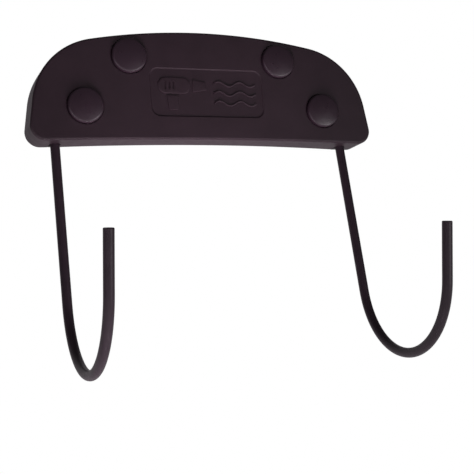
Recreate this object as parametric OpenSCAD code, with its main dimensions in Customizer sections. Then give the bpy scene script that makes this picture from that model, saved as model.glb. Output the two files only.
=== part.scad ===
// Wall holder for a hair dryer. A moulded cover closes over a back plate, and two J-shaped
// rod hooks are trapped between them. Four pull-off caps hide the wall screws.
// The back plate lies on the wall at y = 0, the front faces -Y and +Z is up.
// The origin is on the wall face, midway between the two rows of wall screw holes.

/* [Cover] */
// Width across the bottom corners
cover_w = 187; // [184:1:192]
// Height from the bottom corners to the top of the crown
cover_h = 59; // [58:0.5:61]
// Depth from the wall to the front face
cover_d = 16; // [15:0.5:18]
// Radius of the top edge
crown_r = 325; // [300:5:360]
// Radius of each shoulder
shoulder_r = 38; // [36:1:40]
// Lean of the two sides towards the middle, in degrees
side_lean = 7.8; // [6:0.2:9]
// Radius of the two bottom corners
corner_r = 7.5; // [6:0.5:8.5]
// Rise of the bottom edge at its middle
bottom_arch = 1.2; // [0.4:0.2:2]
// Rounding of the front edge
edge_r = 1.2; // [0.8:0.2:2]
// Wall thickness of the cover
wall = 2.5; // [2:0.1:3]
// Depth of the shallow relief along the lower rear rim
rim_relief = 3; // [1:0.5:4]

/* [Hooks] */
// Distance between the two hooks
hook_gap = 159; // [156:1:162]
// Diameter of the rod
rod_d = 4.8; // [4:0.1:5]
// Length of the straight leg below the cover
leg_len = 81.5; // [60:0.5:110]
// Forward lean of the leg, in degrees
leg_lean = 7.7; // [4:0.1:12]
// Radius of the round bend, to the rod's axis
bend_r = 38.8; // [30:0.2:45]
// Length of the straight upright at the front
upright_len = 27; // [10:1:60]
// Forward lean of the upright, in degrees
upright_lean = 11.5; // [0:0.5:20]

/* [Wall screws and caps] */
// Distance between the two lower screw holes
lower_gap = 131; // [128:1:132]
// Distance between the two upper screw holes
upper_gap = 83; // [76:1:90]
// Height of the lower screw row above the bottom corners
lower_row = 17.8; // [17:0.2:19]
// Height between the two screw rows
row_gap = 26.8; // [25:0.2:28]
// Diameter of the wall screw holes
screw_hole_d = 4.8; // [4.4:0.1:5.2]
// Diameter of a cap
cap_d = 18.4; // [17:0.2:19]
// How far a cap's edge stands out of the front face
cap_edge = 1.9; // [1.6:0.1:2.2]
// How much higher a cap is at its middle than at its edge
cap_crown = 0.9; // [0.6:0.1:1.5]

/* [Badge] */
// Width of the sunken panel in the middle of the front
badge_w = 62; // [60:1:64]
// Height of the sunken panel
badge_h = 25.5; // [25:0.5:27]
// How deep the panel is sunk round its raised pattern
badge_depth = 0.5; // [0.3:0.1:0.8]

/* [Hidden] */
$fn = 64;

cover_black = [0.19, 0.16, 0.18];
rod_black = [0.15, 0.12, 0.14];
cap_black = [0.20, 0.17, 0.19];
zinc = [0.62, 0.62, 0.60];

base_z = -lower_row - row_gap / 2;
plate_t = 3;
plate_gap = 0.3;
over = 1;

// The outline is a crown arc, two shoulder arcs, two straight leaning sides, two corner arcs
// and an arched bottom. Each arc runs into the next without a kink.
corner_x = cover_w / 2 - corner_r;
corner_z = base_z + corner_r;
crown_z = base_z + cover_h - crown_r;
side_reach = corner_x * cos(side_lean) + corner_z * sin(side_lean) + corner_r;
crown_half = asin((side_reach - shoulder_r - crown_z * sin(side_lean)) / (crown_r - shoulder_r)) - side_lean;
shoulder_x = (crown_r - shoulder_r) * sin(crown_half);
shoulder_z = crown_z + (crown_r - shoulder_r) * cos(crown_half);

// Points [x, z] of an arc. Angles are measured from +Z towards +X.
function arc(cx, cz, r, from, to, steps) =
    [for (i = [0 : steps]) let (a = from + (to - from) * i / steps) [cx + r * sin(a), cz + r * cos(a)]];

function drop_first(list) = [for (i = [1 : len(list) - 1]) list[i]];

function arched_bottom(inset, steps) =
    [for (i = [0 : steps]) let (x = corner_x * (1 - i / steps))
        [x, base_z + inset + bottom_arch * (1 - pow(x / corner_x, 2))]];

function right_half(inset) = concat(
    arc(0, crown_z, crown_r - inset, 0, crown_half, 8),
    drop_first(arc(shoulder_x, shoulder_z, shoulder_r - inset, crown_half, 90 - side_lean, 16)),
    arc(corner_x, corner_z, corner_r - inset, 90 - side_lean, 180, 8),
    drop_first(arched_bottom(inset, 10)));

// The whole outline, clockwise from the top centre as seen from the front
function outline(inset) = let (half = right_half(inset), n = len(half))
    concat(half, [for (i = [n - 2 : -1 : 1]) [-half[i][0], half[i][1]]]);

// Extrudes an [x, z] shape between two depths
module slab(y_back, y_front) {
    translate([0, y_back, 0])
        rotate([90, 0, 0])
            linear_extrude(y_back - y_front) children();
}

// A cylinder along Y between two depths
module post(x, z, y_back, y_front, d) {
    translate([x, y_back, z])
        rotate([90, 0, 0])
            cylinder(h = y_back - y_front, d = d);
}

module both_sides() {
    children();
    mirror([1, 0, 0]) children();
}

// ---- Places shared by several parts ----

front_y = -cover_d;
inner_y = front_y + wall;
seat_y = -plate_t;
hook_x = hook_gap / 2;
rod_y = seat_y - rod_d / 2 - 0.05;
rod_slack = 0.1;
exit_z = base_z + 0.5;
lower_z = -row_gap / 2;
upper_z = row_gap / 2;
wall_screws = [[lower_gap / 2, lower_z], [upper_gap / 2, upper_z]];
plate_screws = [[85.6, -12], [73, 8.5], [21, -18]];

// ---- Cover ----

tower_d = 15.4;
tower_floor = 3;
cap_bore_d = 12;
cap_seat_d = cap_d + 0.6;
cap_seat_depth = 1.3;
seat_chamfer = 0.3;
boss_d = 6.4;
pilot_d = 2.5;
pilot_end_y = inner_y + over;
rib_t = 1.6;
edge_steps = 4;

// The solid outer form: straight sides from the wall, then a rounded front edge
module cover_form() {
    rings = concat([[0, 0]],
        [for (i = [0 : edge_steps]) let (a = 90 * i / edge_steps)
            [front_y + edge_r * (1 - sin(a)), edge_r * (1 - cos(a))]]);
    n = len(outline(0));
    points = [for (r = rings) for (p = outline(r[1])) [p[0], r[0], p[1]]];
    last = (len(rings) - 1) * n;
    polyhedron(points, concat(
        [[for (i = [n - 1 : -1 : 0]) i]],
        [for (k = [0 : len(rings) - 2]) for (i = [0 : n - 1])
            [k * n + i, k * n + (i + 1) % n, (k + 1) * n + (i + 1) % n, (k + 1) * n + i]],
        [[for (i = [0 : n - 1]) last + i]]), convexity = 4);
}

module rib(x, z, w, h) {
    translate([x - w / 2, inner_y - over / 2, z - h / 2])
        cube([w, seat_y - inner_y + over / 2, h]);
}

// Ribs that cradle the rod's upright stretch and its tail
module rod_ribs() {
    rib(hook_x, base_z + 8, 12, rib_t);
    rib(hook_x, base_z + 24, 12, rib_t);
    rib(tail_end_x + 4, tail_z, rib_t, 9);
    rib(hook_x - tail_bend_r - 2, tail_z, rib_t, 9);
}

// Room for the rod, open towards the back plate
module rod_room() {
    d = rod_d + 2 * rod_slack;
    top = tail_z + d / 2;
    translate([hook_x, rod_y, base_z + wall])
        cylinder(h = top - base_z - wall, d = d);
    translate([hook_x - d / 2, rod_y, base_z + wall])
        cube([d, -rod_y, top - base_z - wall]);
    translate([tail_end_x - rod_slack, rod_y, tail_z])
        rotate([0, 90, 0])
            cylinder(h = hook_x - tail_end_x + d / 2, d = d);
    translate([tail_end_x - rod_slack, rod_y, tail_z - d / 2])
        cube([hook_x - tail_end_x + d / 2, -rod_y, d]);
}

// The slot through the bottom wall where the rod comes out
exit_slot_w = rod_d + 1;
module exit_slot() {
    translate([hook_x, rod_y, base_z - over])
        cylinder(h = wall + 2 * over, d = exit_slot_w);
    translate([hook_x - exit_slot_w / 2, rod_y, base_z - over])
        cube([exit_slot_w, over - rod_y, wall + 2 * over]);
}

// The shallow relief that leaves the middle of the lower rim off the wall
module relief() {
    half = hook_x - 4;
    steps = 16;
    curve = [for (i = [-steps : steps]) let (t = i / steps) [half * t, -rim_relief * (1 - t * t)]];
    translate([0, 0, base_z - over])
        linear_extrude(wall + bottom_arch + over)
            polygon(concat([[-half, over]], curve, [[half, over]]));
}

module cap_seat(x, z) {
    post(x, z, front_y + cap_seat_depth, front_y - over, cap_seat_d);
    translate([x, front_y + seat_chamfer, z])
        rotate([90, 0, 0])
            cylinder(h = 2 * seat_chamfer, d1 = cap_seat_d, d2 = cap_seat_d + 4 * seat_chamfer);
    post(x, z, seat_y - tower_floor, front_y - over, cap_bore_d);
    post(x, z, over, front_y - over, screw_hole_d);
}

// A rounded rectangle in the [x, z] plane, as points
function round_box(w, h, r) = concat(
    arc(w / 2 - r, h / 2 - r, r, 0, 90, 6),
    arc(w / 2 - r, r - h / 2, r, 90, 180, 6),
    arc(r - w / 2, r - h / 2, r, 180, 270, 6),
    arc(r - w / 2, h / 2 - r, r, 270, 360, 6));

// A band of constant height along a curve given by points
function band(points, w) = concat(
    [for (p = points) [p[0], p[1] + w / 2]],
    [for (i = [len(points) - 1 : -1 : 0]) [points[i][0], points[i][1] - w / 2]]);

// The raised pattern: the side view of a dryer that blows three waves of air
badge_z = base_z + 26.1;
badge_corner = 4.5;
barrel_x = -18;
barrel_z = 3.6;
barrel_w = 18;
barrel_h = 8.6;
barrel_corner = 4.2;
vent_x = barrel_x - 5;
vent_gap = 2.2;
vent_w = 1;
vent_h = 4.2;
icon_gap = 0.9;
nozzle_len = 7.4;
nozzle_h = [6.6, 4.6];
handle_len = 7.8;
handle_w = [6.8, 4.8];
wave_start = 3.4;
wave_len = 24;
wave_rise = 1.2;
wave_gap = 5.2;
wave_w = 1.2;
module badge_pattern() {
    nozzle_x = barrel_x + barrel_w / 2 + icon_gap;
    handle_x = barrel_x - 1.2;
    handle_z = barrel_z - barrel_h / 2 - icon_gap;
    difference() {
        translate([barrel_x, barrel_z]) polygon(round_box(barrel_w, barrel_h, barrel_corner));
        for (k = [0 : 2])
            translate([vent_x + vent_gap * k, barrel_z]) polygon(round_box(vent_w, vent_h, vent_w / 2 - 0.05));
    }
    translate([nozzle_x, barrel_z])
        polygon([[0, nozzle_h[0] / 2], [nozzle_len, nozzle_h[1] / 2],
            [nozzle_len, -nozzle_h[1] / 2], [0, -nozzle_h[0] / 2]]);
    translate([handle_x, handle_z])
        polygon([[-handle_w[0] / 2, 0], [handle_w[0] / 2, 0],
            [handle_w[1] / 2, -handle_len], [-handle_w[1] / 2, -handle_len]]);
    for (k = [-1 : 1])
        translate([wave_start, wave_gap * k])
            polygon(band([for (i = [0 : 24]) [wave_len * i / 24, wave_rise * sin(i * 30)]], wave_w));
}

// What is cut away to sink the panel round its pattern
module badge_cut() {
    slab(front_y + badge_depth, front_y - over)
        translate([0, badge_z])
            difference() {
                polygon(round_box(badge_w, badge_h, badge_corner));
                badge_pattern();
            }
}

module cover() {
    color(cover_black)
        difference() {
            union() {
                difference() {
                    cover_form();
                    slab(over, inner_y) polygon(outline(wall));
                }
                both_sides() {
                    for (s = wall_screws) post(s[0], s[1], seat_y, inner_y - over / 2, tower_d);
                    for (s = plate_screws) post(s[0], s[1], seat_y, inner_y - over / 2, boss_d);
                    rod_ribs();
                }
            }
            badge_cut();
            both_sides() {
                for (s = wall_screws) cap_seat(s[0], s[1]);
                for (s = plate_screws) post(s[0], s[1], 0, pilot_end_y, pilot_d);
                rod_room();
                exit_slot();
            }
            relief();
        }
}

// ---- Back plate ----

head_d = 5.6;
head_slack = 0.1;
shank_d = 3;
head_depth = (head_d - shank_d) / 2;

module back_plate() {
    color(cover_black)
        difference() {
            union() {
                slab(0, seat_y) polygon(outline(wall + plate_gap));
                both_sides()
                    translate([hook_x - exit_slot_w / 2 + plate_gap, seat_y, base_z + 0.2])
                        cube([exit_slot_w - 2 * plate_gap, plate_t, wall + 2]);
            }
            both_sides() {
                for (s = wall_screws) post(s[0], s[1], over, seat_y - over, screw_hole_d);
                for (s = plate_screws) {
                    post(s[0], s[1], over, seat_y - over, shank_d + 0.4);
                    translate([s[0], 0, s[1]])
                        rotate([90, 0, 0])
                            cylinder(h = head_depth + head_slack, d1 = head_d + 2 * head_slack,
                                d2 = shank_d);
                }
            }
        }
}

// ---- Hooks ----

tail_z = base_z + 32;
tail_bend_r = 8;
tail_end_x = hook_x - 24;
exit_bend_r = 15;
exit_bend_len = exit_bend_r * tan(leg_lean / 2);
end_chamfer = 0.5;

// The rod is a hair thicker round its bends, and each straight stretch ends just inside them
bend_swell = 0.02;
lap = 0.3;

// A straight stretch heading down. What follows starts at its lower end.
module straight(length) {
    translate([0, 0, -length]) {
        translate([0, 0, -lap])
            cylinder(h = length + 2 * lap, d = rod_d);
        children();
    }
}

// A quarter turn or other arc of rod about the Z axis, from +X towards +Y
module rod_arc(radius, turn) {
    rotate_extrude(angle = turn)
        translate([radius, 0]) circle(d = rod_d + bend_swell);
}

// A bend that turns a stretch heading down towards the front. What follows starts at its end.
module bend(radius, turn) {
    translate([0, -radius, 0]) {
        rotate([-90, 0, 90]) rod_arc(radius, turn);
        rotate([-turn, 0, 0])
            translate([0, radius, 0]) children();
    }
}

// The last stretch, with a small chamfer round its cut end
module last_stretch(length) {
    r = rod_d / 2;
    rotate([180, 0, 0])
        rotate_extrude()
            polygon([[0, -lap], [r, -lap], [r, length - end_chamfer], [r - end_chamfer, length], [0, length]]);
}

// The tail inside the cover: up from the exit, round a bend and level towards the middle
module tail() {
    bend_x = hook_x - tail_bend_r;
    translate([bend_x, rod_y, tail_z - tail_bend_r])
        rotate([90, 0, 0]) rod_arc(tail_bend_r, 90);
    translate([tail_end_x, rod_y, tail_z])
        rotate([0, 90, 0])
            cylinder(h = bend_x - tail_end_x + lap, d = rod_d);
}

module hook() {
    color(rod_black) {
        tail();
        translate([hook_x, rod_y, tail_z - tail_bend_r])
            straight(tail_z - tail_bend_r - exit_z - exit_bend_len)
                bend(exit_bend_r, leg_lean)
                    straight(leg_len - exit_bend_len)
                        bend(bend_r, 180 - leg_lean - upright_lean)
                            last_stretch(upright_len);
    }
}

module hook_right() {
    hook();
}

module hook_left() {
    mirror([1, 0, 0]) hook();
}

// ---- Caps ----

cap_under = 0.1;
cap_round = 1.2;
barrel_d = cap_bore_d - 0.2;
barrel_wall = 1.3;
barrel_len = 4.5;
slot_w = 1.4;

// One cap on its own axis, with z = 0 at the cover's front face and +Z out of it
module cap_form() {
    under = cap_under - cap_seat_depth;
    dome_r = (pow(cap_d / 2, 2) + pow(cap_crown, 2)) / (2 * cap_crown);
    dome_angle = asin((cap_d / 2 - cap_round) / dome_r);
    dome = [for (i = [0 : 8]) let (a = dome_angle * i / 8)
        [dome_r * sin(a), cap_edge + cap_crown - dome_r * (1 - cos(a))]];
    rim_top = dome[8][1];
    edge = [for (a = [15 : 15 : 90])
        [cap_d / 2 - cap_round * (1 - sin(a)), rim_top - cap_round * (1 - cos(a))]];
    difference() {
        rotate_extrude()
            polygon(concat(dome, edge,
                [[cap_d / 2, under], [barrel_d / 2, under], [barrel_d / 2, under - barrel_len + 0.5],
                [barrel_d / 2 - 0.5, under - barrel_len], [barrel_d / 2 - barrel_wall, under - barrel_len],
                [barrel_d / 2 - barrel_wall, 0], [0, 0]]));
        for (a = [0, 90])
            rotate([0, 0, a])
                translate([-cap_d / 2, -slot_w / 2, under - barrel_len - over])
                    cube([cap_d, slot_w, barrel_len + over - 0.8]);
    }
}

module cap(side, place) {
    color(cap_black)
        translate([side * place[0], front_y, place[1]])
            rotate([90, 0, 0]) cap_form();
}

module cap_lower_left() {
    cap(-1, wall_screws[0]);
}

module cap_lower_right() {
    cap(1, wall_screws[0]);
}

module cap_upper_left() {
    cap(-1, wall_screws[1]);
}

module cap_upper_right() {
    cap(1, wall_screws[1]);
}

// ---- Plate screws ----

screw_len = 12;
recess_w = 0.8;
recess_len = 3;
recess_depth = 0.9;

// A countersunk screw with a cross recess, with z = 0 at its head's face and +Z towards its tip
module screw_form() {
    difference() {
        rotate_extrude()
            polygon([[0, 0], [head_d / 2, 0], [shank_d / 2, head_depth], [shank_d / 2, screw_len - 2.5],
                [0.3, screw_len], [0, screw_len]]);
        for (a = [0, 90])
            rotate([0, 0, a])
                translate([-recess_len / 2, -recess_w / 2, -over])
                    cube([recess_len, recess_w, recess_depth + over]);
    }
}

module plate_screw(side, place) {
    color(zinc)
        translate([side * place[0], 0, place[1]])
            rotate([90, 0, 0]) screw_form();
}

module screw_outer_left() {
    plate_screw(-1, plate_screws[0]);
}

module screw_outer_right() {
    plate_screw(1, plate_screws[0]);
}

module screw_upper_left() {
    plate_screw(-1, plate_screws[1]);
}

module screw_upper_right() {
    plate_screw(1, plate_screws[1]);
}

module screw_middle_left() {
    plate_screw(-1, plate_screws[2]);
}

module screw_middle_right() {
    plate_screw(1, plate_screws[2]);
}

cover();
back_plate();
hook_left();
hook_right();
cap_lower_left();
cap_lower_right();
cap_upper_left();
cap_upper_right();
screw_outer_left();
screw_outer_right();
screw_upper_left();
screw_upper_right();
screw_middle_left();
screw_middle_right();
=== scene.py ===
import math

import bmesh
import bpy
from mathutils import Matrix, Quaternion, Vector


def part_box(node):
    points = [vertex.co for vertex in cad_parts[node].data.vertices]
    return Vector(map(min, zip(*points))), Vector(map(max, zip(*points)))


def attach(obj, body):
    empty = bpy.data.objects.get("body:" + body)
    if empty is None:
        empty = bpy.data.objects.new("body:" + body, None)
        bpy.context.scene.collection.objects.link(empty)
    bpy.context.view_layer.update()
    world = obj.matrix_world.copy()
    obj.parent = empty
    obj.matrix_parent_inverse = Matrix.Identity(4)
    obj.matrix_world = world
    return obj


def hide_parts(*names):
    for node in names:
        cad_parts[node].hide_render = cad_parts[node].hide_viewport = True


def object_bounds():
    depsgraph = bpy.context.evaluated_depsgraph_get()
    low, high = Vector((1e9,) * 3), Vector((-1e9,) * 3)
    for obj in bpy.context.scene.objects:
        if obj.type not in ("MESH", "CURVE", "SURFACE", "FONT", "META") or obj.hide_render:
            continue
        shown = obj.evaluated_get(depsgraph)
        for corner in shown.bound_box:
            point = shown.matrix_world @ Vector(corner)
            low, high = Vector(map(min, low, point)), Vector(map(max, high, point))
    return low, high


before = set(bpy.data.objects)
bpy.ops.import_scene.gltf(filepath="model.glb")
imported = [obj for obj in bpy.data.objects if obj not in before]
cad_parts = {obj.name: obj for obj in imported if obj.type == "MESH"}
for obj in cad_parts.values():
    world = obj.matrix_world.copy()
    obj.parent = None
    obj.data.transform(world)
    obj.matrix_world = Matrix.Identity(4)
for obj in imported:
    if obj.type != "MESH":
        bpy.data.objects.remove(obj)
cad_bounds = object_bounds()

MM = 0.001

# ---- Sizes of the cover's outline, as in the CAD model ----

COVER_W = 187 * MM
COVER_H = 59 * MM
CROWN_R = 325 * MM
SHOULDER_R = 38 * MM
SIDE_LEAN = math.radians(7.8)
CORNER_R = 7.5 * MM
BOTTOM_ARCH = 1.2 * MM
RIM_RELIEF = 3 * MM
WALL = 2.5 * MM
EDGE_R = 1.2 * MM
PLATE_T = 3 * MM

# ---- Rod, caps and panel ----

ROD_R = 2.4 * MM
BEND_SWELL = 0.01 * MM
TAIL_BEND_R = 8 * MM
EXIT_BEND_R = 15 * MM
LEG_LEN = 81.5 * MM
LEG_LEAN = math.radians(7.7)
BEND_R = 38.8 * MM
UPRIGHT_LEN = 27 * MM
UPRIGHT_LEAN = math.radians(11.5)
CAP_SEAT_R = 9.5 * MM
CAP_SEAT_DEPTH = 1.3 * MM
CAP_BORE_R = 6 * MM
SCREW_HOLE_R = 2.4 * MM
TOWER_R = 7.7 * MM
TOWER_FLOOR = 3 * MM
BOSS_R = 3.2 * MM
PILOT_R = 1.25 * MM
PANEL_W = 62 * MM
PANEL_H = 25.5 * MM
PANEL_CORNER = 4.5 * MM
PANEL_DEPTH = 0.5 * MM
PANEL_ABOVE_BASE = 26.1 * MM

# ---- Raised pattern in the panel. Places are from the panel's middle. ----

PATTERN_BEVEL = 0.45 * MM
DRYER_X = -18 * MM
DRYER_Z = 3.6 * MM
DRYER_W = 18 * MM
DRYER_H = 8.6 * MM
DRYER_CORNER = 4.2 * MM
PATTERN_GAP = 0.9 * MM
NOZZLE_LEN = 7.4 * MM
NOZZLE_ROOT_H = 6.6 * MM
NOZZLE_TIP_H = 4.6 * MM
HANDLE_LEFT = 1.2 * MM
HANDLE_LEN = 7.8 * MM
HANDLE_TOP_W = 6.8 * MM
HANDLE_FOOT_W = 4.8 * MM
WAVE_X = 3.4 * MM
WAVE_LEN = 24 * MM
WAVE_RISE = 1.2 * MM
WAVE_W = 1.2 * MM
WAVE_PITCH = 5.2 * MM
WAVES_ALONG = 2
VENT_X = -23 * MM
VENT_PITCH = 2.2 * MM
VENT_W = 1 * MM
VENT_H = 4.2 * MM
VENT_CORNER = 0.45 * MM

# ---- Places, read from the frame ----

cover_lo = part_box("cover")[0]
base_z = cover_lo.z
front_y = cover_lo.y
inner_y = front_y + WALL
seat_y = -PLATE_T
panel_z = base_z + PANEL_ABOVE_BASE
hook_lo, hook_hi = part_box("hook_right")
hook_x = hook_hi.x - ROD_R - BEND_SWELL
rod_y = hook_hi.y - ROD_R - BEND_SWELL
tail_x = hook_lo.x
tail_z = hook_hi.z - ROD_R - BEND_SWELL
exit_z = base_z + 0.5 * MM

CAPS = ["cap_lower_left", "cap_lower_right", "cap_upper_left", "cap_upper_right"]
PLATE_SCREWS = ["screw_outer_left", "screw_outer_right",
                "screw_upper_left", "screw_upper_right",
                "screw_middle_left", "screw_middle_right"]


def middle(node):
    """The x and z of a CAD node's middle"""
    lo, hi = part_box(node)
    return (lo.x + hi.x) / 2, (lo.z + hi.z) / 2


# ---- Outlines, as lists of (x, z) ----

def spaced(start, end, steps):
    return [start + (end - start) * i / steps for i in range(steps + 1)]


def arc(cx, cz, r, start, end, steps):
    """Points of an arc. Angles run from +Z towards +X."""
    return [(cx + r * math.sin(a), cz + r * math.cos(a)) for a in spaced(start, end, steps)]


def circle(cx, cz, r, steps=72):
    return arc(cx, cz, r, 0, math.tau, steps)[:-1]


def round_box(cx, cz, w, h, r, steps=8):
    """A rectangle with round corners"""
    quarter = math.pi / 2
    x, z = w / 2 - r, h / 2 - r
    corners = [(x, z), (x, -z), (-x, -z), (-x, z)]
    return [p for k, (a, b) in enumerate(corners)
            for p in arc(cx + a, cz + b, r, k * quarter, (k + 1) * quarter, steps)]


corner_x = COVER_W / 2 - CORNER_R
corner_z = base_z + CORNER_R
crown_z = base_z + COVER_H - CROWN_R
side_reach = corner_x * math.cos(SIDE_LEAN) + corner_z * math.sin(SIDE_LEAN) + CORNER_R
crown_half = math.asin((side_reach - SHOULDER_R - crown_z * math.sin(SIDE_LEAN))
                       / (CROWN_R - SHOULDER_R)) - SIDE_LEAN
shoulder_x = (CROWN_R - SHOULDER_R) * math.sin(crown_half)
shoulder_z = crown_z + (CROWN_R - SHOULDER_R) * math.cos(crown_half)


def cover_outline(inset):
    """The cover's outline, drawn in by inset: crown, shoulders, leaning sides, corners and arched
    bottom"""
    side = math.pi / 2 - SIDE_LEAN
    bottom = [(x, base_z + inset + BOTTOM_ARCH * (1 - (x / corner_x) ** 2))
              for x in spaced(corner_x, 0, 40)]
    half = (arc(0, crown_z, CROWN_R - inset, 0, crown_half, 24)
            + arc(shoulder_x, shoulder_z, SHOULDER_R - inset, crown_half, side, 32)[1:]
            + arc(corner_x, corner_z, CORNER_R - inset, side, math.pi, 20)
            + bottom[1:])
    return half + [(-x, z) for x, z in half[-2:0:-1]]


# ---- Mesh building ----

class Skin:
    """Builds a closed mesh from rings of points"""

    def __init__(self):
        self.bm = bmesh.new()

    def ring(self, points):
        return [self.bm.verts.new(p) for p in points]

    def flat_ring(self, outline, y):
        return self.ring([(x, y, z) for x, z in outline])

    def join(self, rings):
        """Closes the strips between each ring and the next. All have the same number of points."""
        for a, b in zip(rings, rings[1:]):
            for i in range(len(a)):
                j = (i + 1) % len(a)
                self.bm.faces.new((a[i], a[j], b[j], b[i]))

    def fill(self, *rings):
        """Fills the flat area bounded by rings. A ring inside another is a hole."""
        edges = []
        for ring in rings:
            for i, v in enumerate(ring):
                w = ring[(i + 1) % len(ring)]
                edges.append(self.bm.edges.get((v, w)) or self.bm.edges.new((v, w)))
        bmesh.ops.triangle_fill(self.bm, use_beauty=True, use_dissolve=False, edges=edges)

    def close_on(self, ring, apex):
        """Closes a ring with a fan of faces that meet at a point"""
        tip = self.bm.verts.new(apex)
        for i, v in enumerate(ring):
            self.bm.faces.new((v, ring[(i + 1) % len(ring)], tip))

    def mesh(self, name):
        bmesh.ops.recalc_face_normals(self.bm, faces=self.bm.faces)
        for face in self.bm.faces:
            face.smooth = True
        mesh = bpy.data.meshes.new(name)
        self.bm.to_mesh(mesh)
        self.bm.free()
        return mesh


def add_object(name, mesh):
    obj = bpy.data.objects.new(name, mesh)
    bpy.context.scene.collection.objects.link(obj)
    return obj


def settle_shading(obj, angle=35):
    """Smooth shading with sharp edges past the angle, and flat faces that stay flat"""
    obj.data.set_sharp_from_angle(angle=math.radians(angle))
    weighted = obj.modifiers.new("flat_faces_stay_flat", "WEIGHTED_NORMAL")
    weighted.keep_sharp = True


def combine(obj, tool_mesh, operation):
    """Cuts tool_mesh out of obj, or joins it on"""
    tool = add_object("tool", tool_mesh)
    step = obj.modifiers.new("combine", "BOOLEAN")
    step.object = tool
    step.operation = operation
    step.solver = "EXACT"
    step.use_self = True
    depsgraph = bpy.context.evaluated_depsgraph_get()
    old = obj.data
    new = bpy.data.meshes.new_from_object(obj.evaluated_get(depsgraph))
    obj.modifiers.remove(step)
    obj.data = new
    new.name = obj.name
    bpy.data.meshes.remove(old)
    bpy.data.objects.remove(tool)


def prism(skin, outline, y_back, y_front, bevel=0.0, shrink=None):
    """A closed solid over an outline. With a bevel, shrink(bevel) gives the drawn-in outline of its
    front."""
    rings = [skin.flat_ring(outline, y_back)]
    if bevel:
        rings.append(skin.flat_ring(outline, y_front + bevel))
        rings.append(skin.flat_ring(shrink(bevel * 0.3), y_front + bevel * 0.3))
        rings.append(skin.flat_ring(shrink(bevel), y_front))
    else:
        rings.append(skin.flat_ring(outline, y_front))
    skin.join(rings)
    skin.fill(rings[0])
    skin.fill(rings[-1])


def rounding(y, offset, r, y_sign, offset_sign, steps):
    """(y, offset) steps of a quarter round that starts along Y and ends level with the face"""
    return [(y + y_sign * r * math.sin(a), offset + offset_sign * r * (1 - math.cos(a)))
            for a in spaced(0, math.pi / 2, steps)]


# ---- Cover ----

def rim_depth(x, z):
    """How far the rear rim stands off the wall, along its lower edge between the hooks"""
    half = hook_x - 4 * MM
    on_bottom = z < base_z + BOTTOM_ARCH + WALL + 1.2 * MM
    return RIM_RELIEF * (1 - (x / half) ** 2) if on_bottom and abs(x) < half else 0.0


def outer_and_inner_walls(skin):
    """The cover's side walls, as (inset, y, at the rear rim) steps from back to front. Returns the
    front ring of the outer skin and of the inner skin."""
    soft = 0.3 * MM
    inner_r = 1 * MM
    outer_edge = rounding(front_y + EDGE_R, 0, EDGE_R, -1, 1, 8)
    inner_edge = rounding(inner_y + inner_r, WALL, inner_r, -1, 1, 4)
    outer_steps = ([(soft, 0, True), (0.3 * soft, -0.3 * soft, True), (0, -soft, True)]
                   + [(inset, y, False) for y, inset in outer_edge])
    inner_steps = ([(WALL - soft, 0, True), (WALL - 0.3 * soft, -0.3 * soft, True),
                    (WALL, -soft, True)]
                   + [(inset, y, False) for y, inset in inner_edge])

    def rings(steps):
        made = []
        for inset, y, at_rim in steps:
            made.append(skin.ring([(x, y - (rim_depth(x, z) if at_rim else 0), z)
                                   for x, z in cover_outline(inset)]))
        return made

    outer, inner = rings(outer_steps), rings(inner_steps)
    skin.join(outer)
    skin.join(inner)
    skin.join([outer[0], inner[0]])
    return outer[-1], inner[-1]


def cap_seat(skin, x, z):
    """The seat, bore, floor and screw hole under a cap. Returns its rings on the front and on the
    inner face."""
    soft = 0.2 * MM
    floor_y = seat_y - TOWER_FLOOR
    step_y = front_y + CAP_SEAT_DEPTH
    profile = [(CAP_SEAT_R + soft, front_y), (CAP_SEAT_R + 0.3 * soft, front_y + 0.3 * soft),
               (CAP_SEAT_R, front_y + soft), (CAP_SEAT_R, step_y),
               (CAP_BORE_R + soft, step_y), (CAP_BORE_R, step_y + soft), (CAP_BORE_R, floor_y),
               (SCREW_HOLE_R, floor_y), (SCREW_HOLE_R, seat_y), (TOWER_R - soft, seat_y),
               (TOWER_R, seat_y - soft), (TOWER_R, inner_y)]
    rings = [skin.flat_ring(circle(x, z, r), y) for r, y in profile]
    skin.join(rings)
    return rings[0], rings[-1]


def screw_boss(skin, x, z):
    """A boss for a plate screw. Returns its ring on the inner face."""
    soft = 0.3 * MM
    profile = [(BOSS_R, inner_y), (BOSS_R, seat_y - soft), (BOSS_R - soft, seat_y),
               (PILOT_R + soft, seat_y), (PILOT_R, seat_y - soft), (PILOT_R, inner_y - 1 * MM)]
    rings = [skin.flat_ring(circle(x, z, r, 40), y) for r, y in profile]
    skin.join(rings)
    skin.fill(rings[-1])
    return rings[0]


def sunken_panel(skin):
    """The panel's sloping edge and its floor. Returns its ring on the front."""
    half_slope = 0.35 * MM
    # How far out and how deep the slope has gone, as shares of half_slope and of PANEL_DEPTH
    slope = [(1, 0), (4 / 7, 0.12), (0, 0.5), (-4 / 7, 0.88), (-1, 1)]
    rings = [skin.flat_ring(round_box(0, panel_z, PANEL_W + 2 * out * half_slope,
                                      PANEL_H + 2 * out * half_slope,
                                      PANEL_CORNER + out * half_slope),
                            front_y + deep * PANEL_DEPTH)
             for out, deep in slope]
    skin.join(rings)
    skin.fill(rings[-1])
    return rings[0]


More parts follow.
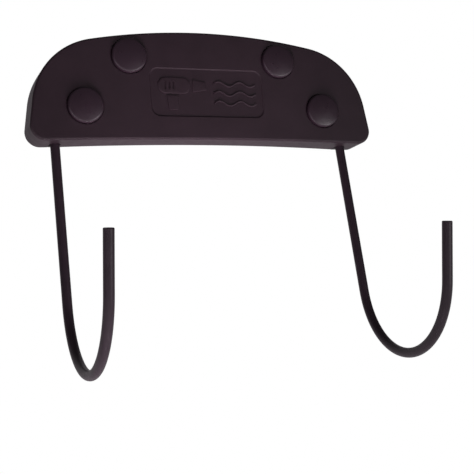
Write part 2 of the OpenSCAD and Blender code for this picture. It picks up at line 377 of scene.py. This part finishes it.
def panel_pattern():
    """The raised pattern in the panel: a dryer seen from the side, and three waves of air. Each
    shape takes how far its outline is drawn in."""
    skin = Skin()
    sunk_in = 0.3 * MM
    below_front = 0.02 * MM
    x, z = DRYER_X, panel_z + DRYER_Z

    def barrel(s=0.0):
        return round_box(x, z, DRYER_W - 2 * s, DRYER_H - 2 * s, DRYER_CORNER - s)

    def nozzle(s=0.0):
        root = x + DRYER_W / 2 + PATTERN_GAP
        x0, x1 = root + s, root + NOZZLE_LEN - s
        h0, h1 = NOZZLE_ROOT_H / 2 - s, NOZZLE_TIP_H / 2 - s
        return [(x0, z + h0), (x1, z + h1), (x1, z - h1), (x0, z - h0)]

    def handle(s=0.0):
        mid = x - HANDLE_LEFT
        root = z - DRYER_H / 2 - PATTERN_GAP
        top, foot = root - s, root - HANDLE_LEN + s
        w0, w1 = HANDLE_TOP_W / 2 - s, HANDLE_FOOT_W / 2 - s
        return [(mid - w0, top), (mid + w0, top), (mid + w1, foot), (mid - w1, foot)]

    def wave(row):
        def outline(s=0.0):
            half = WAVE_W / 2 - s
            mid = panel_z + WAVE_PITCH * row
            line = [(WAVE_X + s + (WAVE_LEN - 2 * s) * t,
                     mid + WAVE_RISE * math.sin(t * WAVES_ALONG * math.tau))
                    for t in spaced(0, 1, 60)]
            return ([(px, pz + half) for px, pz in line]
                    + [(px, pz - half) for px, pz in reversed(line)])
        return outline

    for shape in [barrel, nozzle, handle, wave(-1), wave(0), wave(1)]:
        prism(skin, shape(), front_y + PANEL_DEPTH + sunk_in, front_y + below_front,
              PATTERN_BEVEL, shape)
    return skin.mesh("pattern")


def rod_slots():
    """The two slots through the bottom wall where the rods come out"""
    skin = Skin()
    half = ROD_R + 0.5 * MM
    for side in (-1, 1):
        front = [(side * hook_x + half * math.cos(a), rod_y - half * math.sin(a))
                 for a in spaced(0, math.pi, 20)]
        outline = [(side * hook_x + half, 1 * MM)] + front + [(side * hook_x - half, 1 * MM)]
        low = skin.ring([(x, y, base_z - 1 * MM) for x, y in outline])
        high = skin.ring([(x, y, base_z + WALL + 1.2 * MM) for x, y in outline])
        skin.join([low, high])
        skin.fill(low)
        skin.fill(high)
    return skin.mesh("slots")


def vent_slots():
    """Three short upright slots in the dryer of the pattern, as deep as the panel"""
    skin = Skin()
    for k in range(3):
        outline = round_box(VENT_X + k * VENT_PITCH, panel_z + DRYER_Z, VENT_W, VENT_H,
                            VENT_CORNER, 5)
        prism(skin, outline, front_y + PANEL_DEPTH, front_y - 1 * MM)
    return skin.mesh("vent_slots")


def build_cover():
    skin = Skin()
    outer_front, inner_front = outer_and_inner_walls(skin)
    seats = [cap_seat(skin, *middle(cap)) for cap in CAPS]
    bosses = [screw_boss(skin, *middle(screw)) for screw in PLATE_SCREWS]
    skin.fill(outer_front, sunken_panel(skin), *[front for front, _ in seats])
    skin.fill(inner_front, *bosses, *[back for _, back in seats])
    cover = add_object("cover_shell", skin.mesh("cover_shell"))
    combine(cover, panel_pattern(), "UNION")
    combine(cover, vent_slots(), "DIFFERENCE")
    combine(cover, rod_slots(), "DIFFERENCE")
    settle_shading(cover)
    return cover


# ---- Hooks ----

def trace_rod(start, heading, moves):
    """Follows a rod through its moves. Returns (place, heading) pairs from end to end.
    A move is a length to go straight, or (radius, angle, axis) to turn about an axis."""
    place, way = Vector(start), Vector(heading)
    path = [(place.copy(), way.copy())]
    for move in moves:
        if isinstance(move, tuple):
            radius, angle, axis = move
            axis = Vector(axis)
            centre = place + axis.cross(way) * radius
            steps = max(4, round(math.degrees(angle) / 3))
            arm, first_way = place - centre, way.copy()
            for a in spaced(0, angle, steps)[1:]:
                turn = Quaternion(axis, a)
                place, way = centre + turn @ arm, turn @ first_way
                path.append((place.copy(), way.copy()))
        else:
            place = place + way * move
            path.append((place.copy(), way.copy()))
    return path


def rod_mesh(name, path, sides=40):
    """A round rod along a path, with softly chamfered cut ends"""
    skin = Skin()
    soft = 0.45 * MM
    end = [(soft * (1 - math.sin(a)), soft * (1 - math.cos(a)))
           for a in spaced(0, math.pi / 2, 4)]
    # Each station is a place on the rod's middle line, the rod's heading and its radius there
    stations = ([(path[0][0] + path[0][1] * ahead, path[0][1], ROD_R - drawn_in)
                 for ahead, drawn_in in reversed(end)]
                + [(place, way, ROD_R) for place, way in path[1:-1]]
                + [(path[-1][0] - path[-1][1] * back, path[-1][1], ROD_R - drawn_in)
                   for back, drawn_in in end])
    across = stations[0][1].orthogonal().normalized()
    rings = []
    for place, way, r in stations:
        across = (across - way * across.dot(way)).normalized()
        other = way.cross(across)
        rings.append(skin.ring([place + (across * math.cos(a) + other * math.sin(a)) * r
                                for a in spaced(0, math.tau, sides)[:-1]]))
    skin.join(rings)
    skin.fill(rings[0])
    skin.fill(rings[-1])
    return skin.mesh(name)


def build_hook(name, side):
    exit_bend_len = EXIT_BEND_R * math.tan(LEG_LEAN / 2)
    tail_len = hook_x - TAIL_BEND_R - tail_x
    inner_leg = tail_z - TAIL_BEND_R - exit_z - exit_bend_len
    forward = (-1, 0, 0)
    moves = [tail_len, (TAIL_BEND_R, math.pi / 2, (0, 1, 0)), inner_leg,
             (EXIT_BEND_R, LEG_LEAN, forward), LEG_LEN - exit_bend_len,
             (BEND_R, math.pi - LEG_LEAN - UPRIGHT_LEAN, forward), UPRIGHT_LEN]
    path = trace_rod((tail_x, rod_y, tail_z), (1, 0, 0), moves)
    mirror = Matrix.Diagonal((side, 1, 1))
    path = [(mirror @ place, mirror @ way) for place, way in path]
    hook = add_object(name, rod_mesh(name, path))
    settle_shading(hook)
    return hook


# ---- Caps ----

CAP_R = 9.2 * MM
CAP_EDGE = 1.9 * MM
CAP_CROWN = 0.9 * MM
CAP_ROUND = 1.2 * MM
CAP_UNDER = 0.1 * MM
BARREL_R = 5.9 * MM
BARREL_WALL = 1.3 * MM
BARREL_LEN = 4.5 * MM
SNAP_SLOT = 1.4 * MM


def cap_profile():
    """(radius, height above the front face) of a cap, from under its middle round to its top"""
    under = CAP_UNDER - CAP_SEAT_DEPTH
    inside = BARREL_R - BARREL_WALL
    foot = under - BARREL_LEN
    dome_r = (CAP_R ** 2 + CAP_CROWN ** 2) / (2 * CAP_CROWN)
    dome_end = math.asin((CAP_R - CAP_ROUND) / dome_r)
    dome = [(dome_r * math.sin(a), CAP_EDGE + CAP_CROWN - dome_r * (1 - math.cos(a)))
            for a in spaced(dome_end, 0, 13)[:-1]]
    rim_top = dome[0][1]
    edge = [(CAP_R - CAP_ROUND * (1 - math.cos(a)), rim_top - CAP_ROUND * (1 - math.sin(a)))
            for a in spaced(0, math.pi / 2 - dome_end, 7)][:-1]
    soft = 0.2 * MM
    return ([(0.1 * MM, -0.2 * MM), (inside - 0.5 * MM, -0.2 * MM), (inside, -0.7 * MM),
             (inside, foot + soft), (inside + soft, foot), (BARREL_R - 0.5 * MM, foot),
             (BARREL_R, foot + 0.5 * MM), (BARREL_R, under - soft), (BARREL_R + soft, under),
             (CAP_R - soft, under), (CAP_R, under + soft)] + edge + dome)


def snap_slots():
    """Two crossed cutters that split a cap's barrel"""
    skin = Skin()
    foot = CAP_UNDER - CAP_SEAT_DEPTH - BARREL_LEN
    for half_x, half_z in ((CAP_R, SNAP_SLOT / 2), (SNAP_SLOT / 2, CAP_R)):
        outline = [(half_x, half_z), (half_x, -half_z), (-half_x, -half_z), (-half_x, half_z)]
        prism(skin, outline, -foot + 1 * MM, -foot - BARREL_LEN + 0.8 * MM)
    return skin.mesh("snap_slots")


def build_cap(node):
    skin = Skin()
    rings = [skin.flat_ring(circle(0, 0, r, 96), -height) for r, height in cap_profile()]
    skin.join(rings)
    skin.fill(rings[0])
    skin.close_on(rings[-1], (0, -CAP_EDGE - CAP_CROWN, 0))
    cap = add_object(node + "_dome", skin.mesh(node + "_dome"))
    combine(cap, snap_slots(), "DIFFERENCE")
    x, z = middle(node)
    cap.data.transform(Matrix.Translation((x, front_y, z)))
    settle_shading(cap)
    return cap


# ---- Materials ----

class Nodes:
    """A material with its own node tree, built up from small steps"""

    def __init__(self, name):
        self.material = bpy.data.materials.new(name)
        self.material.use_nodes = True
        self.tree = self.material.node_tree
        self.shader = self.tree.nodes["Principled BSDF"]
        self.place = self.tree.nodes.new("ShaderNodeTexCoord").outputs["Object"]

    def link(self, source, target):
        self.tree.links.new(source, target)

    def noise(self, feature, detail=2.0, stretch=(1, 1, 1)):
        """Noise with features of about this size, in metres"""
        scaled = self.tree.nodes.new("ShaderNodeMapping")
        scaled.inputs["Scale"].default_value = stretch
        self.link(self.place, scaled.inputs["Vector"])
        node = self.tree.nodes.new("ShaderNodeTexNoise")
        node.inputs["Scale"].default_value = 1 / feature
        node.inputs["Detail"].default_value = detail
        self.link(scaled.outputs["Vector"], node.inputs["Vector"])
        return node.outputs["Fac"]

    def map(self, value, low, high, from_low=0.3, from_high=0.7):
        """Maps a value from one range to another"""
        node = self.tree.nodes.new("ShaderNodeMapRange")
        node.inputs["From Min"].default_value = from_low
        node.inputs["From Max"].default_value = from_high
        node.inputs["To Min"].default_value = low
        node.inputs["To Max"].default_value = high
        self.link(value, node.inputs["Value"])
        return node.outputs["Result"]

    def blend(self, amount, first, second):
        """A colour between two colours"""
        node = self.tree.nodes.new("ShaderNodeMix")
        node.data_type = "RGBA"
        node.inputs["A"].default_value = (*first, 1)
        node.inputs["B"].default_value = (*second, 1)
        self.link(amount, node.inputs["Factor"])
        return node.outputs["Result"]

    def bump(self, height, distance, strength=1.0, below=None):
        node = self.tree.nodes.new("ShaderNodeBump")
        node.inputs["Distance"].default_value = distance
        node.inputs["Strength"].default_value = strength
        self.link(height, node.inputs["Height"])
        if below is not None:
            self.link(below, node.inputs["Normal"])
        return node.outputs["Normal"]

    def colour(self, source):
        self.link(source, self.shader.inputs["Base Color"])

    def roughness(self, source):
        self.link(source, self.shader.inputs["Roughness"])

    def normal(self, source):
        self.link(source, self.shader.inputs["Normal"])


def moulded_plastic(name, dark, light, rough, grain, grain_depth, specular=0.5):
    """Black moulded plastic: a faint mottle, a fine grain of this size and depth, and a slight
    unevenness"""
    n = Nodes(name)
    cloud = n.noise(18 * MM, 3)
    n.colour(n.blend(n.map(cloud, 0, 1), dark, light))
    n.roughness(n.map(n.noise(3 * MM, 4), rough - 0.04, rough + 0.05))
    fine = n.bump(n.noise(grain, 3), grain_depth)
    n.normal(n.bump(n.noise(2.5 * MM, 2), 0.02 * MM, 0.5, fine))
    n.shader.inputs["Specular IOR Level"].default_value = specular
    return n.material


def coated_rod(name):
    """Satin black coating over a drawn steel rod"""
    n = Nodes(name)
    cloud = n.noise(9 * MM, 3)
    n.colour(n.blend(n.map(cloud, 0, 1), (0.0220, 0.0130, 0.0190), (0.0285, 0.0175, 0.0250)))
    n.roughness(n.map(n.noise(1.2 * MM, 3), 0.34, 0.44))
    peel = n.bump(n.noise(0.9 * MM, 2), 0.03 * MM, 0.6)
    n.normal(n.bump(n.noise(0.22 * MM, 2), 0.006 * MM, 0.6, peel))
    n.shader.inputs["Specular IOR Level"].default_value = 0.42
    return n.material


def zinc_plate(name):
    """Bright zinc with faint turning marks"""
    n = Nodes(name)
    cloud = n.noise(1.5 * MM, 3)
    n.colour(n.blend(n.map(cloud, 0, 1), (0.50, 0.49, 0.46), (0.66, 0.65, 0.62)))
    n.roughness(n.map(n.noise(0.5 * MM, 3), 0.24, 0.42))
    n.normal(n.bump(n.noise(0.15 * MM, 2, (1, 0.1, 1)), 0.005 * MM, 0.6))
    n.shader.inputs["Metallic"].default_value = 1.0
    return n.material


def paint(obj, material):
    obj.data.materials.clear()
    obj.data.materials.append(material)
    for face in obj.data.polygons:
        face.material_index = 0


# ---- Stage, light and camera ----

LIGHT_TINT = (1.0, 0.94, 0.985)
FLOOR_DROP = 0.45
FLOOR_LIGHT = 0.48
ROOM_LIGHT = 0.06
BACKDROP_LIGHT = 0.4
WHITE = (1, 1, 1)


def two_faced(tree, seen, lit, out):
    """Shows one shader to the camera, and lights the object with another"""
    path = tree.nodes.new("ShaderNodeLightPath")
    mix = tree.nodes.new("ShaderNodeMixShader")
    tree.links.new(path.outputs["Is Camera Ray"], mix.inputs["Fac"])
    tree.links.new(lit, mix.inputs[1])
    tree.links.new(seen, mix.inputs[2])
    tree.links.new(mix.outputs["Shader"], out.inputs["Surface"])


def glow(tree, kind, colour, strength):
    node = tree.nodes.new(kind)
    node.inputs["Color"].default_value = (*colour, 1)
    node.inputs["Strength"].default_value = strength
    return node.outputs[0]


def build_stage():
    """A white round floor well below the hooks, which lights the object from below"""
    bm = bmesh.new()
    bmesh.ops.create_circle(bm, cap_ends=True, radius=6, segments=96)
    mesh = bpy.data.meshes.new("floor")
    bm.to_mesh(mesh)
    bm.free()
    floor = add_object("floor", mesh)
    floor.location.z = cad_bounds[0].z - FLOOR_DROP
    material = bpy.data.materials.new("pale_floor")
    material.use_nodes = True
    tree = material.node_tree
    tree.nodes.remove(tree.nodes["Principled BSDF"])
    two_faced(tree, glow(tree, "ShaderNodeEmission", WHITE, 1.0),
              glow(tree, "ShaderNodeEmission", LIGHT_TINT, FLOOR_LIGHT),
              tree.nodes["Material Output"])
    floor.data.materials.append(material)


def build_world():
    """White to the camera. As light, dim all round and brighter from behind, as with a white
    backdrop"""
    world = bpy.data.worlds.new("surround")
    bpy.context.scene.world = world
    world.use_nodes = True
    tree = world.node_tree
    tree.nodes.clear()
    out = tree.nodes.new("ShaderNodeOutputWorld")
    lit = glow(tree, "ShaderNodeBackground", LIGHT_TINT, ROOM_LIGHT)
    direction = tree.nodes.new("ShaderNodeSeparateXYZ")
    tree.links.new(tree.nodes.new("ShaderNodeTexCoord").outputs["Generated"], direction.inputs[0])
    from_behind = tree.nodes.new("ShaderNodeMapRange")
    from_behind.inputs["From Min"].default_value = 0.2
    from_behind.inputs["From Max"].default_value = 0.9
    from_behind.inputs["To Min"].default_value = ROOM_LIGHT
    from_behind.inputs["To Max"].default_value = BACKDROP_LIGHT
    tree.links.new(direction.outputs["Y"], from_behind.inputs["Value"])
    tree.links.new(from_behind.outputs["Result"], lit.node.inputs["Strength"])
    two_faced(tree, glow(tree, "ShaderNodeBackground", WHITE, 1.0), lit, out)


def soft_light(name, place, aim, size, power, spread=180, in_gloss=True):
    """A square soft light. Spread is the angle of its beam in degrees. A light that isn't in_gloss
    fills the shadows and makes no highlight."""
    data = bpy.data.lights.new(name, "AREA")
    data.size = size
    data.spread = math.radians(spread)
    data.energy = power
    data.color = LIGHT_TINT
    light = bpy.data.objects.new(name, data)
    light.location = place
    light.rotation_mode = "QUATERNION"
    light.rotation_quaternion = (Vector(aim) - light.location).to_track_quat("-Z", "Y")
    light.visible_camera = False
    light.visible_glossy = in_gloss
    bpy.context.scene.collection.objects.link(light)


CAMERA_PLACE = (-0.18308, -0.47940, -0.14668)
CAMERA_RIGHT_OF_Y = math.radians(20.342)
CAMERA_ABOVE_LEVEL = math.radians(10.875)
CAMERA_ROLL = math.radians(-4.204)
LENS = 75.37
LENS_SHIFT = (0.0911, -0.1185)
SENSOR_W = 36


def build_camera():
    """A long lens, below the cover and to its left, that looks up and to the right"""
    right_of_y, above_level, roll = CAMERA_RIGHT_OF_Y, CAMERA_ABOVE_LEVEL, CAMERA_ROLL
    forward = Vector((math.sin(right_of_y) * math.cos(above_level),
                      math.cos(right_of_y) * math.cos(above_level), math.sin(above_level)))
    level_right = forward.cross(Vector((0, 0, 1))).normalized()
    level_up = level_right.cross(forward)
    right = level_right * math.cos(roll) + level_up * math.sin(roll)
    up = level_up * math.cos(roll) - level_right * math.sin(roll)
    data = bpy.data.cameras.new("camera")
    data.lens = LENS
    data.sensor_width = SENSOR_W
    data.shift_x, data.shift_y = LENS_SHIFT
    camera = bpy.data.objects.new("camera", data)
    camera.location = CAMERA_PLACE
    camera.rotation_mode = "QUATERNION"
    camera.rotation_quaternion = Matrix((right, up, -forward)).transposed().to_quaternion()
    bpy.context.scene.collection.objects.link(camera)
    bpy.context.scene.camera = camera


# ---- Putting it together ----

build_camera()
build_stage()
build_world()
soft_light("front", (0.45, -0.7, -0.2), (0, 0, -0.05), 0.3, 0.74)
soft_light("left", (-0.42, -0.42, -0.40), (-0.03, -0.016, 0.01), 0.3, 0.09, 36,
           in_gloss=False)
soft_light("under", (-0.015, -0.11, -0.26), (-0.012, -0.016, -0.015), 0.11, 0.125, 54,
           in_gloss=False)
bpy.context.scene.view_settings.view_transform = "Standard"

cover_black = moulded_plastic("cover_black", (0.0190, 0.0098, 0.0147), (0.0240, 0.0128, 0.0187),
                              0.50, 0.16 * MM, 0.012 * MM)
cap_black = moulded_plastic("cap_black", (0.0205, 0.0105, 0.0170), (0.0255, 0.0135, 0.0210),
                            0.31, 0.12 * MM, 0.006 * MM, 0.8)
plate_black = moulded_plastic("plate_black", (0.0150, 0.0110, 0.0130), (0.0190, 0.0140, 0.0165),
                              0.50, 0.20 * MM, 0.010 * MM)
rod_black = coated_rod("rod_black")
zinc = zinc_plate("zinc")

cover = build_cover()
paint(cover, cover_black)
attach(cover, "holder")
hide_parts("cover")

for node, side in (("hook_left", -1), ("hook_right", 1)):
    hook = build_hook(node + "_rod", side)
    paint(hook, rod_black)
    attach(hook, "holder")
    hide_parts(node)

for node in CAPS:
    cap = build_cap(node)
    paint(cap, cap_black)
    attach(cap, node)
    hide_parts(node)

paint(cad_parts["back_plate"], plate_black)
for node in PLATE_SCREWS:
    paint(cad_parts[node], zinc)
